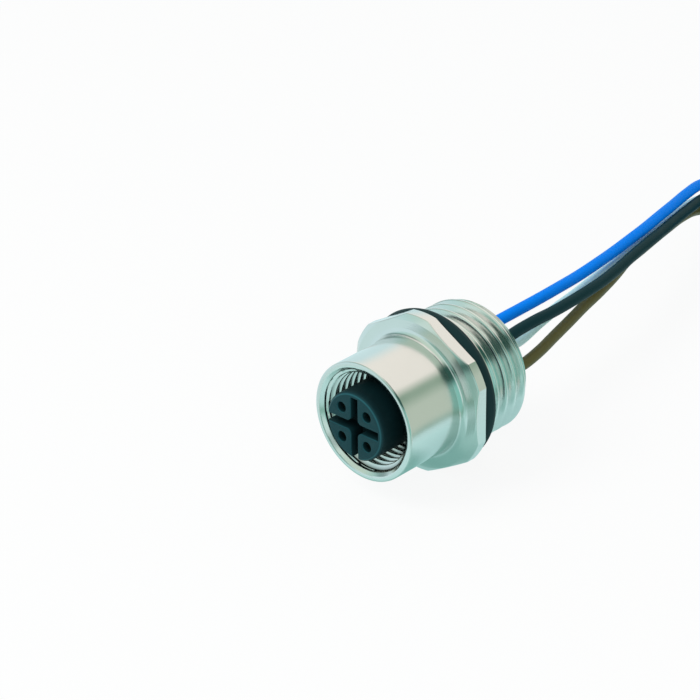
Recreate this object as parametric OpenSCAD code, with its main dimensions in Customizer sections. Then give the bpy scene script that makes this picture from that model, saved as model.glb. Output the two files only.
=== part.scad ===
// Round panel-mount socket with four single wires.
// The plug axis is Y: the mating face looks to -Y and the wires leave to +Y.
// The origin lies on that axis, in the flange face that clamps against the panel.

/* [Housing] */
// Outside diameter of the front sleeve
sleeve_d = 14.2; // [13.6:0.1:16]
// Length of the sleeve in front of the flange
sleeve_len = 8.6; // [7:0.1:10]
// How far the flange's turned corners stand out over its six milled flats
flange_corner = 0.6; // [0.3:0.05:0.9]
// Width of the turned chamfer on the front of the flange
flange_chamfer = 0.7; // [0.4:0.1:1]
// Thickness of the flange
flange_t = 1.7; // [1.2:0.1:2.4]
// Radius of the fillet between sleeve and flange
flange_fillet = 0.8; // [0.3:0.1:1.2]
// Outside diameter of the panel thread
panel_thread_d = 16; // [15.6:0.1:18]
// Length of the panel thread
panel_thread_len = 6.8; // [5:0.1:10]
// Chamfer at the rear end of the panel thread
thread_chamfer = 0.8; // [0.3:0.1:1]
// Core diameter of the coupling thread inside the sleeve
coupling_core_d = 10.92; // [10.4:0.02:11.4]
// Depth of the socket from the front rim
socket_depth = 9.1; // [7:0.1:9.5]
// Chamfer at the mouth of the socket
mouth_chamfer = 1; // [0.4:0.1:1.2]
// Thickness of the web that the insert is pushed against
web_t = 1.6; // [1.2:0.1:2.2]
// Diameter of the rear chamber
chamber_d = 12; // [11.4:0.1:12.6]

/* [Panel seal] */
// Thickness of the ring's round section
seal_section = 2.1; // [1.6:0.1:2.4]
// Inside diameter of the ring and of the neck that carries it
seal_inner_d = 14.2; // [13.6:0.1:14.6]
// How far the ring stands out over the flange's flats
seal_overhang = 0.2; // [0:0.05:0.4]
// Free space between the ring and the thread
seal_room = 0.1; // [0.05:0.05:0.5]

/* [Contact insert] */
// Diameter of the insert's nose
nose_d = 8.2; // [7.8:0.1:8.4]
// How far the mating face stands in front of the sleeve
face_proud = 1.4; // [0.2:0.1:2]
// Edge chamfer of the mating face
face_chamfer = 0.3; // [0.1:0.05:0.4]
// Diameter of the spigot that sits in the web
spigot_d = 9; // [8.6:0.1:9.6]
// Thickness of the collar behind the web
collar_t = 2.8; // [2:0.1:3.2]
// Clearance round the insert
insert_fit = 0.05; // [0.02:0.01:0.1]
// Width of the arms of the cross-shaped recess and of the key slot
arm_w = 1.1; // [0.8:0.1:1.3]
// Radius of the inner corners between the arms
arm_corner = 0.55; // [0.2:0.05:0.7]
// Reach of the closed arms from the middle
arm_reach = 3.55; // [3.2:0.05:3.6]
// Depth of the arms
arm_depth = 2; // [1:0.1:2.6]
// Depth of the key slot in the nose
key_depth = 0.95; // [0.7:0.05:1.1]

/* [Contacts] */
// Diameter of the circle through the contacts
contact_circle_d = 5.2; // [5:0.1:5.3]
// Diameter of the lead-in holes in the mating face
lead_in_d = 1.3; // [1.2:0.05:1.4]
// Thickness of the insert in front of the contacts
front_wall = 1; // [0.6:0.1:1.4]
// Outside diameter of a contact
contact_d = 1.6; // [1.5:0.05:1.7]
// Bore for the plug's pin
contact_bore_d = 0.96; // [0.9:0.02:1.04]
// Depth of that bore
contact_bore_len = 7; // [6:0.1:8]
// Width of the spring slots
slot_w = 0.25; // [0.2:0.05:0.35]
// Length of the spring slots
slot_len = 5; // [3:0.1:5.5]
// Diameter of the stop collar
stop_d = 2.1; // [1.9:0.05:2.3]
// Length of the stop collar
stop_len = 1; // [0.6:0.1:1.4]
// Diameter of the solder cup
cup_d = 1.5; // [1.4:0.05:1.6]
// Length of the solder cup behind the insert
cup_len = 2.6; // [1.6:0.1:3]
// Clearance round a contact
contact_fit = 0.05; // [0.02:0.01:0.1]

/* [Potting] */
// Depth of the resin's surface inside the rear end
potting_recess = 0.8; // [0.4:0.1:1.4]

/* [Wires] */
// Diameter over the insulation
wire_d = 1.4; // [1.2:0.05:1.4]
// Diameter of the bare tinned strand
strand_d = 0.8; // [0.6:0.05:0.9]
// Length of bare strand at the far end
strip_len = 5; // [3:0.5:5.5]
// Number of turns that lie side by side in the coil
coil_turns = 3.3; // [3:0.1:3.4]
// Radius of the coil at its outermost wire
coil_r = 9.2; // [9:0.05:9.5]
// Width of the tie round the coil
tie_w = 2.4; // [1.8:0.1:3]
// Thickness of the tie
tie_t = 0.35; // [0.25:0.05:0.5]

/* [Hidden] */
$fn = 96;
cut = 0.5;

// The flange backs the seal, so its width follows the ring
flange_af = seal_inner_d + 2 * (seal_section - seal_overhang);
flange_d = flange_af + 2 * flange_corner;

// Places along the axis
rim_y = -flange_t - sleeve_len;
floor_y = rim_y + socket_depth;
web_y = floor_y + web_t;
neck_y = seal_section + seal_room;
rear_y = neck_y + panel_thread_len;
face_y = rim_y - face_proud;
insert_rear_y = web_y + collar_t;
contact_front_y = face_y + front_wall;
stop_y = insert_rear_y - stop_len;
cup_y = insert_rear_y + cup_len;
potting_y = rear_y - potting_recess;

// Small edges
edge_break = 0.2;
thread_start = 0.5;
flange_chamfer_deg = 30;

// Contacts and wires in the order brown, white, blue, black:
// seen from the front, brown is lower right and the others follow clockwise
contact_angles = [-45, -135, 135, 45];
wires = len(contact_angles);
wire_colours = [[0.36, 0.27, 0.14], [0.86, 0.90, 0.88], [0.02, 0.36, 0.85], [0.06, 0.08, 0.09]];
function contact_at(i) = contact_circle_d / 2 * [cos(contact_angles[i]), sin(contact_angles[i])];

// The coil lies on the surface that the flange rests on
surface_z = -flange_d / 2;
coil_room = 0.1;
coil_outer_r = coil_r + wire_d / 2 + coil_room;
coil_inner_r = coil_outer_r - coil_turns * wire_d - 2 * coil_room;
coil_h = wires * wire_d + 2 * coil_room;
coil_corner = wire_d / 2 - coil_room;
tie_angle = -60;
tie_proud = 0.1;
tie_head = [3, 2.6, 1.6];

// Each wire lies on its own level of the coil, counted from below
coil_order = [0, 1, 3, 2];
function level_z(i) = coil_room + (coil_order[i] + 0.5) * wire_d;

// Ends of the wires, fanned a little
end_angle = 30;
end_fan = 10;
end_offset = 3;
end_lead = 2.3;

// Free part of each wire behind the resin, up to the coil
wire_points = [
    // brown
    [[1.95, 11, -1.95], [2.1, 14.5, -2.05], [1.44, 18.5, -2.05], [0.39, 22.5, -2.05],
     [-0.79, 27, -2.05], [-1.88, 31, -2.05], [-2.97, 35.5, -2.05], [-4.23, 40, -2.05],
     [-5.74, 44.5, -2.1], [-6.97, 49, -2.5], [-8.25, 53.5, -2.94], [-9.51, 58, -3.41],
     [-10.69, 62.5, -3.89], [-11.75, 67, -4.8], [-12.7, 71.5, -6.5], [-12.85, 76, -8.55]],
    // white
    [[-1.85, 11, -1.87], [-1.85, 15, -1.8], [-1.95, 19, -1.92], [-2.35, 23, -1.35],
     [-2.85, 27, -1.08], [-3.35, 31, -1.02], [-3.9, 35.5, -0.79], [-4.28, 40, -0.6],
     [-5.29, 44.5, -0.75], [-6.42, 49, -1.1], [-7.7, 53.5, -1.54], [-8.96, 58, -2.01],
     [-10.19, 62.5, -2.49], [-11.35, 67, -3.3], [-12.4, 71.5, -4.85], [-12.8, 76, -6.95]],
    // blue
    [[-1.9, 11, 1.95], [-2, 15, 2.08], [-2, 19, 2.12], [-2.15, 23, 2.05],
     [-2.55, 27, 1.84], [-3.1, 31, 1.53], [-3.75, 35.5, 1.34], [-4.55, 40, 1.11],
     [-5.5, 44.5, 0.86], [-6.55, 49, 0.54], [-7.7, 53.5, 0.25], [-8.9, 58, -0.12],
     [-10.1, 62.5, -0.45], [-11.2, 67, -0.95], [-12.1, 71.5, -2.2], [-12.7, 76, -3.85]],
    // black
    [[1.6, 10.5, 1.85], [1.15, 14.5, 1.95], [0.85, 18.5, 1.82], [0.6, 22, 1.53],
     [0.15, 26, 1.24], [-0.45, 30, 0.95], [-1.2, 34, 0.64], [-2.1, 38, 0.46],
     [-3.15, 42, 0.25], [-4.3, 46.5, -0.02], [-5.6, 51, -0.52], [-7, 56, -0.96],
     [-8.4, 61, -1.47], [-9.7, 66, -2.05], [-10.95, 71, -3.55], [-12.3, 76, -5.4]]
];

// Where the wires run into the coil
coil_start = [-12.85, 80];
coil_centre = coil_start + [coil_r, 0];

// Turns a shape drawn along Z to lie along the plug axis
module along_axis() {
    rotate([-90, 0, 0]) children();
}

// A round hole or pin along the plug axis
module round_y(d, y0, y1) {
    translate([0, y0, 0]) along_axis() cylinder(d = d, h = y1 - y0);
}

module at_contact(i) {
    p = contact_at(i);
    translate([p[0], 0, p[1]]) children();
}

// Housing: turned sleeve, flange and threaded rear, then milled and bored
module turned_outside() {
    along_axis() rotate_extrude() {
        r = sleeve_d / 2;
        polygon([[0, rim_y], [r - edge_break, rim_y], [r, rim_y + edge_break], [r, 0], [0, 0]]);
        difference() {
            translate([r, -flange_t - flange_fillet]) square(flange_fillet);
            translate([r + flange_fillet, -flange_t - flange_fillet]) circle(flange_fillet);
        }
        translate([0, -cut]) square([seal_inner_d / 2, neck_y + 2 * cut]);
        t = panel_thread_d / 2;
        polygon([[0, neck_y], [t - thread_start, neck_y], [t, neck_y + thread_start],
            [t, rear_y - thread_chamfer], [t - thread_chamfer, rear_y], [0, rear_y]]);
    }
}

module milled_flange() {
    r = flange_d / 2;
    drop = flange_chamfer * tan(flange_chamfer_deg);
    along_axis() intersection() {
        rotate_extrude() polygon([[0, -flange_t], [r - flange_chamfer, -flange_t],
            [r, drop - flange_t], [r, 0], [0, 0]]);
        translate([0, 0, -flange_t - cut]) rotate(30)
            cylinder(d = flange_af / cos(30), h = flange_t + 2 * cut, $fn = 6);
    }
}

module housing_bores() {
    core_r = coupling_core_d / 2;
    along_axis() rotate_extrude() {
        polygon([[0, rim_y - cut], [core_r + mouth_chamfer + cut, rim_y - cut],
            [core_r, rim_y + mouth_chamfer], [core_r, floor_y], [0, floor_y]]);
        translate([0, floor_y - cut]) square([spigot_d / 2 + insert_fit, web_t + 2 * cut]);
        translate([0, web_y]) square([chamber_d / 2, rear_y - web_y + cut]);
    }
}

module housing() {
    color([0.78, 0.80, 0.78]) difference() {
        union() {
            turned_outside();
            milled_flange();
        }
        housing_bores();
    }
}

// Panel seal: round-section ring on the neck behind the flange
module panel_seal() {
    color([0.07, 0.09, 0.10]) along_axis() rotate_extrude()
        translate([(seal_inner_d + seal_section) / 2, seal_section / 2]) circle(d = seal_section);
}

// Contact insert: moulded nose and collar with a cross-shaped recess and a key slot
// The left arm and the lower one, over the key slot, run out at the nose's side
module cross_shape() {
    open_reach = nose_d / 2 + cut;
    translate([-open_reach, -arm_w / 2]) square([open_reach + arm_reach, arm_w]);
    translate([-arm_w / 2, -arm_reach]) square([arm_w, open_reach + arm_reach]);
    for (turn = [0 : 90 : 270]) rotate(turn) translate([arm_w / 2, arm_w / 2]) difference() {
        square(arm_corner);
        translate([arm_corner, arm_corner]) circle(arm_corner);
    }
}

module face_recess() {
    translate([0, face_y - cut, 0]) along_axis() linear_extrude(cut + arm_depth) cross_shape();
}

module key_slot() {
    translate([-arm_w / 2, face_y - cut, -nose_d / 2 - cut])
        cube([arm_w, floor_y - face_y + cut, key_depth + cut]);
}

module contact_cavity() {
    round_y(lead_in_d, face_y - cut, contact_front_y + cut);
    round_y(contact_d + 2 * contact_fit, contact_front_y, insert_rear_y + cut);
    round_y(stop_d + 2 * contact_fit, stop_y, insert_rear_y + cut);
}

module contact_insert() {
    r = nose_d / 2;
    collar_r = chamber_d / 2 - insert_fit;
    color([0.10, 0.17, 0.18]) difference() {
        along_axis() rotate_extrude() polygon([[0, face_y], [r - face_chamfer, face_y],
            [r, face_y + face_chamfer], [r, floor_y], [spigot_d / 2, floor_y], [spigot_d / 2, web_y],
            [collar_r, web_y], [collar_r, insert_rear_y], [0, insert_rear_y]]);
        face_recess();
        key_slot();
        for (i = [0 : wires - 1]) at_contact(i) contact_cavity();
    }
}

// Contact: turned socket with four spring fingers, a stop collar and a solder cup
module contact(i) {
    color([0.85, 0.70, 0.38]) at_contact(i) difference() {
        union() {
            round_y(contact_d, contact_front_y + contact_fit, insert_rear_y);
            round_y(stop_d, stop_y, insert_rear_y);
            round_y(cup_d, insert_rear_y - cut, cup_y);
        }
        round_y(contact_bore_d, contact_front_y - cut, contact_front_y + contact_bore_len);
        for (turn = [0, 90]) rotate([0, turn, 0])
            translate([-contact_d, contact_front_y - cut, -slot_w / 2])
                cube([2 * contact_d, slot_len + cut, slot_w]);
    }
}

// Potting: resin cast round the solder cups and the wires
module potting() {
    color([0.13, 0.14, 0.14]) difference() {
        round_y(chamber_d, insert_rear_y, potting_y);
        for (i = [0 : wires - 1]) at_contact(i) {
            round_y(cup_d, insert_rear_y - cut, cup_y);
            round_y(wire_d, cup_y - cut, potting_y + cut);
        }
    }
}

// Wires: tubes swept along their points from the solder cups to the coil
function unit(v) = v / norm(v);
function heading(p, i) = unit(p[min(i + 1, len(p) - 1)] - p[max(i - 1, 0)]);
function ring(p, i, r, sides) =
    let (d = heading(p, i), side = unit(cross(d, [0, 0, 1])), up = cross(side, d))
    [for (k = [0 : sides - 1]) p[i] + r * (cos(360 * k / sides) * side + sin(360 * k / sides) * up)];

module tube(p, d, sides = 8) {
    rings = len(p);
    points = [for (i = [0 : rings - 1]) each ring(p, i, d / 2, sides)];
    walls = [for (i = [0 : rings - 2], k = [0 : sides - 1])
        let (a = i * sides + k, b = i * sides + (k + 1) % sides)
        each [[a, b, a + sides], [b, b + sides, a + sides]]];
    start = [for (k = [1 : sides - 2]) [0, k + 1, k]];
    last = (rings - 1) * sides;
    end = [for (k = [1 : sides - 2]) [last, last + k, last + k + 1]];
    polyhedron(points, concat(walls, start, end), convexity = 4);
}

module wire(i) {
    c = contact_at(i);
    straight = [[c[0], cup_y, c[1]], [c[0], potting_y, c[1]]];
    last = [[coil_start[0], coil_start[1], surface_z + level_z(i)]];
    color(wire_colours[i]) difference() {
        tube(concat(straight, wire_points[i], last), wire_d);
        coil_body();
    }
}

// Coil: outer shape of the wires' spare length, waisted where the tie holds it
module at_coil() {
    translate([coil_centre[0], coil_centre[1], surface_z]) children();
}

module coil_body() {
    c = coil_corner;
    w = coil_outer_r - coil_inner_r;
    at_coil() rotate_extrude() translate([coil_inner_r, 0]) {
        translate([c, 0]) square([w - 2 * c, coil_h]);
        translate([0, c]) square([w, coil_h - 2 * c]);
        for (x = [c, w - c], z = [c, coil_h - c])
            translate([x, z]) circle(c);
    }
}

module tie_band() {
    inner = sqrt(pow(coil_inner_r, 2) - pow(tie_w / 2, 2));
    w = coil_outer_r + tie_proud - inner;
    at_coil() rotate(tie_angle) translate([inner, -tie_w / 2, 0]) difference() {
        cube([w, tie_w, coil_h]);
        translate([tie_t, -cut, tie_t]) cube([w - 2 * tie_t, tie_w + 2 * cut, coil_h - 2 * tie_t]);
    }
}

module wire_coil() {
    color([0.20, 0.24, 0.30]) difference() {
        coil_body();
        tie_band();
    }
}

module coil_tie() {
    color([0.10, 0.10, 0.11]) {
        tie_band();
        at_coil() rotate(tie_angle)
            translate([(coil_outer_r + coil_inner_r - tie_head[0]) / 2, -tie_head[1] / 2, coil_h])
            cube(tie_head);
    }
}

// Wire end: insulated lead with a bare tip that points across the open middle of the coil
module wire_end(i) {
    wall_x = sqrt(pow(coil_inner_r, 2) - pow(end_offset, 2));
    color([0.75, 0.75, 0.73]) difference() {
        at_coil() rotate(end_angle + i * end_fan)
            translate([wall_x - end_lead, -end_offset, level_z(i)]) rotate([0, -90, 0]) {
            translate([0, 0, -end_lead - wire_d]) cylinder(d = wire_d, h = end_lead + wire_d);
            translate([0, 0, -cut]) cylinder(d = strand_d, h = strip_len + cut);
        }
        coil_body();
    }
}

housing();
panel_seal();
contact_insert();
potting();
contact(0);  // contact_brown
contact(1);  // contact_white
contact(2);  // contact_blue
contact(3);  // contact_black
wire(0);  // wire_brown
wire(1);  // wire_white
wire(2);  // wire_blue
wire(3);  // wire_black
wire_end(0);  // wire_end_brown
wire_end(1);  // wire_end_white
wire_end(2);  // wire_end_blue
wire_end(3);  // wire_end_black
wire_coil();
coil_tie();
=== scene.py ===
# %% [markdown]
# # A round panel socket with four single wires
#
# The real object is a turned and plated socket that is screwed into a panel hole.
# A plug is screwed into its front, and four single wires leave its back.
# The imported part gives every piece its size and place, and this lesson gives each piece its looks.
# The part's sizes are written in millimetres and become metres where a mesh or curve is made.
# The camera and the lamps are placed in metres.

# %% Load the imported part
import math

import bmesh
import bpy
import numpy as np
from mathutils import Matrix, Vector


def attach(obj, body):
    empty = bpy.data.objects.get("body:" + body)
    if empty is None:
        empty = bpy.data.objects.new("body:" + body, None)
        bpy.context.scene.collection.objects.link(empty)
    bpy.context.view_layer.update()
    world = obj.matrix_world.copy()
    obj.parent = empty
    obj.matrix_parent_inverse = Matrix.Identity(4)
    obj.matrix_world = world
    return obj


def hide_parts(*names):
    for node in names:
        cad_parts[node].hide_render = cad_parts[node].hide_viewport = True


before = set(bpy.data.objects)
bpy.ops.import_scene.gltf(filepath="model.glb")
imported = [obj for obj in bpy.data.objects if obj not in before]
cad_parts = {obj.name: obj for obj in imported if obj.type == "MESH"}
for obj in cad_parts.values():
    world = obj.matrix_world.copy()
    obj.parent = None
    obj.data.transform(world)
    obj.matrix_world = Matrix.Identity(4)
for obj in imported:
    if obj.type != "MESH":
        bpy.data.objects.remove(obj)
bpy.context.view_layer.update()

MM = 0.001
scene = bpy.context.scene
scene.view_settings.view_transform = "Standard"

# %% [markdown]
# ## The camera
#
# The photo looks at the socket from the front, the right and above.
# The numbers come from a fit to the ellipses of the sleeve, flange and thread.
# A long lens keeps the perspective as weak as in the photo.
# The lens shift puts the socket right of the middle, so the wires can run out of the frame.

# %% Camera
AZIMUTH, ELEVATION = math.radians(41.4), math.radians(28.5)
DISTANCE = 0.3
FOCAL_PX, FRAME_PX = 2680, 700
ORIGIN_PX = (424.9, 388.8)

to_camera = Vector((math.sin(AZIMUTH) * math.cos(ELEVATION),
                    -math.cos(AZIMUTH) * math.cos(ELEVATION),
                    math.sin(ELEVATION)))
camera = bpy.data.objects.new("camera", bpy.data.cameras.new("camera"))
scene.collection.objects.link(camera)
camera.location = to_camera * DISTANCE
camera.rotation_euler = to_camera.to_track_quat("Z", "Y").to_euler()
camera.data.sensor_width = 36
camera.data.lens = camera.data.sensor_width * FOCAL_PX / FRAME_PX
camera.data.shift_x = (FRAME_PX / 2 - ORIGIN_PX[0]) / FRAME_PX
camera.data.shift_y = (ORIGIN_PX[1] - FRAME_PX / 2) / FRAME_PX
camera.data.clip_start = 0.01
scene.camera = camera
print("camera: lens", round(camera.data.lens, 1), "mm, shift",
      round(camera.data.shift_x, 3), round(camera.data.shift_y, 3))

# %% [markdown]
# ## Plated metal
#
# The housing is nickel-plated and the contacts are gold-plated, both over turned metal.
# A picture could be wrapped round them, but it would blur close up,
# so each material is a small procedural tree on the piece's own coordinates.
# A lathe leaves fine rings, so the bump depends only on the radius and the place along the axis.

# %% Plated metal
METAL_CLOUDS, METAL_SHADE, METAL_GLOSS = 260.0, 0.93, (0.8, 1.25)
CLOUD_RANGE = (0.3, 0.7)
RING_BUMP, RING_DEPTH = 0.3, 0.01


def add(tree, kind, inputs=None, **settings):
    """Adds a node, sets its options, and fills or links its inputs."""
    node = tree.nodes.new(kind)
    for name, value in settings.items():
        setattr(node, name, value)
    for name, value in (inputs or {}).items():
        if isinstance(value, bpy.types.NodeSocket):
            tree.links.new(value, node.inputs[name])
        else:
            node.inputs[name].default_value = value
    return node


def span(tree, value, start, end, low=0.0, high=1.0):
    """Goes from low to high while the value goes from start to end, and no further."""
    return add(tree, "ShaderNodeMapRange", {"Value": value, "From Min": start, "From Max": end,
               "To Min": low, "To Max": high}).outputs[0]


def mixed(tree, share, first, second, **settings):
    """A blend of two colours, each of them a tone or a link."""
    first, second = (c if isinstance(c, bpy.types.NodeSocket) else (*c, 1) for c in (first, second))
    return add(tree, "ShaderNodeMix", {"Factor": share, 6: first, 7: second}, data_type="RGBA",
               **settings).outputs[2]


def start_material(name, colour, roughness, metallic=0.0):
    """A plain material; returns it with its tree and shader."""
    material = bpy.data.materials.new(name)
    material.use_nodes = True
    shader = material.node_tree.nodes["Principled BSDF"]
    shader.inputs["Base Color"].default_value = (*colour, 1)
    shader.inputs["Roughness"].default_value = roughness
    shader.inputs["Metallic"].default_value = metallic
    return material, material.node_tree, shader


def vary(tree, shader, vector, scale, colour, shade, roughness, gloss):
    """Slow changes of tone and gloss: the colour down to its shade, and a range of roughness."""
    noise = add(tree, "ShaderNodeTexNoise", {"Vector": vector, "Scale": scale, "Detail": 3.0})
    cloud = noise.outputs["Fac"]
    tone = mixed(tree, cloud, tuple(c * shade for c in colour), colour)
    tree.links.new(tone, shader.inputs["Base Color"])
    rough = span(tree, cloud, *CLOUD_RANGE, *(roughness * g for g in gloss))
    tree.links.new(rough, shader.inputs["Roughness"])


def grain(tree, shader, vector, scale, strength, depth):
    """Fine bumps."""
    noise = add(tree, "ShaderNodeTexNoise", {"Vector": vector, "Scale": scale, "Detail": 2.0})
    bump = add(tree, "ShaderNodeBump", {"Height": noise.outputs["Fac"], "Strength": strength,
               "Distance": depth * MM})
    tree.links.new(bump.outputs[0], shader.inputs["Normal"])


def turned_metal(name, colour, roughness, ring_scale):
    """Plated metal with the rings of the lathe around the plug axis."""
    material, tree, shader = start_material(name, colour, roughness, metallic=1.0)
    place = add(tree, "ShaderNodeTexCoord").outputs["Object"]
    x, y, z = add(tree, "ShaderNodeSeparateXYZ", {0: place}).outputs
    across = add(tree, "ShaderNodeCombineXYZ", {"X": x, "Y": z})
    radius = add(tree, "ShaderNodeVectorMath", {0: across.outputs[0]}, operation="LENGTH")
    rings = add(tree, "ShaderNodeCombineXYZ", {"X": radius.outputs["Value"], "Y": y})
    vary(tree, shader, place, METAL_CLOUDS, colour, METAL_SHADE, roughness, METAL_GLOSS)
    grain(tree, shader, rings.outputs[0], ring_scale, RING_BUMP, RING_DEPTH)
    return material


NICKEL = turned_metal("nickel", (0.80, 0.80, 0.78), 0.16, 9000.0)
GOLD = turned_metal("contact_gold", (0.83, 0.62, 0.27), 0.25, 12000.0)
print("plated metal:", NICKEL.name, "and", GOLD.name)

# %% [markdown]
# The roots of a thread lie in shade between its crests, so the plating's tone is taken down there: a
# painted shade.
# The housing's mesh will say how deep each of its points lies in a thread,
# so the painted shade follows that value, and no root has to be painted.

# %% Painted shade in the roots
ROOT_SHADE_FROM, ROOT_SHADE_SHARE = 0.25, 0.4


def shaded(material, shade):
    """Multiplies a material's tone by a link in its tree."""
    tree = material.node_tree
    colour = tree.nodes["Principled BSDF"].inputs["Base Color"]
    tone = mixed(tree, 1.0, colour.links[0].from_socket, shade, blend_type="MULTIPLY")
    tree.links.new(tone, colour)


def painted_root_shade(material, attribute, share):
    """Takes the tone down to a share where the mesh's attribute is one: a painted shade."""
    tree = material.node_tree
    amount = add(tree, "ShaderNodeAttribute", attribute_name=attribute).outputs["Fac"]
    tone = span(tree, amount, ROOT_SHADE_FROM, 1.0, 1.0, share)
    shaded(material, add(tree, "ShaderNodeCombineColor", {i: tone for i in range(3)}).outputs[0])


# Painted shade: the nickel is darkened in the thread roots, where shade falls between the crests.
painted_root_shade(NICKEL, "root", ROOT_SHADE_SHARE)
print("nickel keeps", ROOT_SHADE_SHARE, "of its tone in the deepest roots")

# %% [markdown]
# ## Plastics, rubber and resin
#
# Moulded and extruded pieces have a fine grain and a slow change of tone, and no lathe rings.
# One function makes them all, because only tone, gloss, shine and grain differ.
# Tinned strands have no rings either, so they start like a plastic and are then made metallic.

# %% Plastics
PLASTIC_CLOUDS, PLASTIC_SHADE, PLASTIC_GLOSS = 400.0, 0.85, (0.85, 1.15)
GRAIN_DEPTH = 0.02


def plastic(name, colour, roughness, shine=0.35, grain_scale=6000.0, strength=0.2):
    """Moulded or extruded plastic, rubber or resin."""
    material, tree, shader = start_material(name, colour, roughness)
    shader.inputs["Specular IOR Level"].default_value = shine
    place = add(tree, "ShaderNodeTexCoord").outputs["Object"]
    vary(tree, shader, place, PLASTIC_CLOUDS, colour, PLASTIC_SHADE, roughness, PLASTIC_GLOSS)
    grain(tree, shader, place, grain_scale, strength, GRAIN_DEPTH)
    return material


TIN = plastic("tinned_strand", (0.72, 0.72, 0.70), 0.3)
TIN.node_tree.nodes["Principled BSDF"].inputs["Metallic"].default_value = 1.0
RUBBER = plastic("seal_rubber", (0.010, 0.033, 0.036), 0.55, 0.1)
RESIN = plastic("potting_resin", (0.012, 0.014, 0.016), 0.2, strength=0.05)
NYLON = plastic("tie_plastic", (0.015, 0.015, 0.017), 0.45)
INSULATION = {
    "brown": plastic("insulation_brown", (0.108, 0.100, 0.030), 0.45, 0.15, strength=0.1),
    "white": plastic("insulation_white", (0.60, 0.88, 0.86), 0.4, 0.2, strength=0.1),
    "blue": plastic("insulation_blue", (0.0005, 0.245, 1.0), 0.45, 0.04, strength=0.1),
    "black": plastic("insulation_black", (0.005, 0.034, 0.040), 0.45, 0.05, strength=0.1),
}
print("plastics:", [m.name for m in (TIN, RUBBER, RESIN, NYLON, *INSULATION.values())])

# %% [markdown]
# The insert's face is matt from its mould. Its rounded edges get a painted highlight, and its sides and
# recesses get a painted shade.
# The edges could be painted one by one, but they all lie just behind the face,
# so a ramp along the plug axis finds them by itself.

# %% Insert plastic
FACE_Y = -11.7


def ramp(tree, value, marks):
    """Colours along a value, from marks that give a place and a tone."""
    node = add(tree, "ShaderNodeValToRGB", {0: value})
    stops = node.color_ramp.elements
    while len(stops) < len(marks):
        stops.new(0.5)
    for stop, (place, tone) in zip(stops, marks):
        stop.position = place
        stop.color = (*tone, 1)
    return node.outputs[0]


def light_and_shade_by_depth(material, front_y, shares):
    """Paints light and shade by the depth in millimetres behind a front face."""
    tree = material.node_tree
    place = add(tree, "ShaderNodeTexCoord").outputs["Object"]
    y = add(tree, "ShaderNodeSeparateXYZ", {0: place}).outputs["Y"]
    deepest = shares[-1][0]
    depth = span(tree, y, front_y * MM, (front_y + deepest) * MM)
    shaded(material, ramp(tree, depth, [(at / deepest, (share,) * 3) for at, share in shares]))


INSERT = plastic("insert_plastic", (0.020, 0.102, 0.122), 0.5, 0.1, grain_scale=9000.0, strength=0.35)
# A painted highlight on the rounded edges just behind the face, then a painted shade deeper in the cross,
# the holes and on the sides.
light_and_shade_by_depth(INSERT, FACE_Y, [(0, 0.5), (0.02, 1.0), (0.1, 1.0), (0.15, 0.45), (0.3, 0.25), (1.0, 0.15)])
print("insert plastic: worn behind its face at", FACE_Y, "mm")

# %% [markdown]
# ## The wires
#
# Four single wires leave the resin in a square, fan a little, and gather into a loose bundle.
# They could be hung by a simulation, but the photo shows where each one runs,
# so each follows points read off the photo, with a smooth curve through them.

# %% Free lines
WIRE_D, STRIP = 1.4, 5.0
CONTACT_CIRCLE = 5.2
CUP_Y, RESIN_Y = 5.8, 8.2
ROUTE_STEPS = 8
COLOURS = ("brown", "white", "blue", "black")
CONTACT_ANGLE = {"brown": -45, "white": -135, "blue": 135, "black": 45}
ROUTE = {
    "brown": [(1.95, 11, -1.95), (2.1, 14.5, -2.05), (1.44, 18.5, -2.05), (0.39, 22.5, -2.05),
              (-0.79, 27, -2.05), (-1.88, 31, -2.05), (-2.97, 35.5, -2.05), (-4.23, 40, -2.05),
              (-5.74, 44.5, -2.1), (-6.97, 49, -2.5), (-8.25, 53.5, -2.94), (-9.51, 58, -3.41),
              (-10.69, 62.5, -3.89), (-11.75, 67, -4.8), (-12.7, 71.5, -6.5), (-12.85, 76, -8.55),
              (-12.85, 80, -8.8)],
    "white": [(-1.85, 11, -1.87), (-1.85, 15, -1.8), (-1.95, 19, -1.92), (-2.35, 23, -1.35),
              (-2.85, 27, -1.08), (-3.35, 31, -1.02), (-3.9, 35.5, -0.79), (-4.28, 40, -0.6),
              (-5.29, 44.5, -0.75), (-6.42, 49, -1.1), (-7.7, 53.5, -1.54), (-8.96, 58, -2.01),
              (-10.19, 62.5, -2.49), (-11.35, 67, -3.3), (-12.4, 71.5, -4.85), (-12.8, 76, -6.95),
              (-12.85, 80, -7.4)],
    "blue": [(-1.9, 11, 1.95), (-2, 15, 2.08), (-2, 19, 2.12), (-2.15, 23, 2.05),
             (-2.55, 27, 1.84), (-3.1, 31, 1.53), (-3.75, 35.5, 1.34), (-4.55, 40, 1.11),
             (-5.5, 44.5, 0.86), (-6.55, 49, 0.54), (-7.7, 53.5, 0.25), (-8.9, 58, -0.12),
             (-10.1, 62.5, -0.45), (-11.2, 67, -0.95), (-12.1, 71.5, -2.2), (-12.7, 76, -3.85),
             (-12.85, 80, -4.6)],
    "black": [(1.6, 10.5, 1.85), (1.15, 14.5, 1.95), (0.85, 18.5, 1.82), (0.6, 22, 1.53),
              (0.15, 26, 1.24), (-0.45, 30, 0.95), (-1.2, 34, 0.64), (-2.1, 38, 0.46),
              (-3.15, 42, 0.25), (-4.3, 46.5, -0.02), (-5.6, 51, -0.52), (-7, 56, -0.96),
              (-8.4, 61, -1.47), (-9.7, 66, -2.05), (-10.95, 71, -3.55), (-12.3, 76, -5.4),
              (-12.85, 80, -6)],
}


def contact_place(colour):
    """X and Z of a contact and its wire."""
    a = math.radians(CONTACT_ANGLE[colour])
    return CONTACT_CIRCLE / 2 * np.array([math.cos(a), math.sin(a)])


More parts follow.
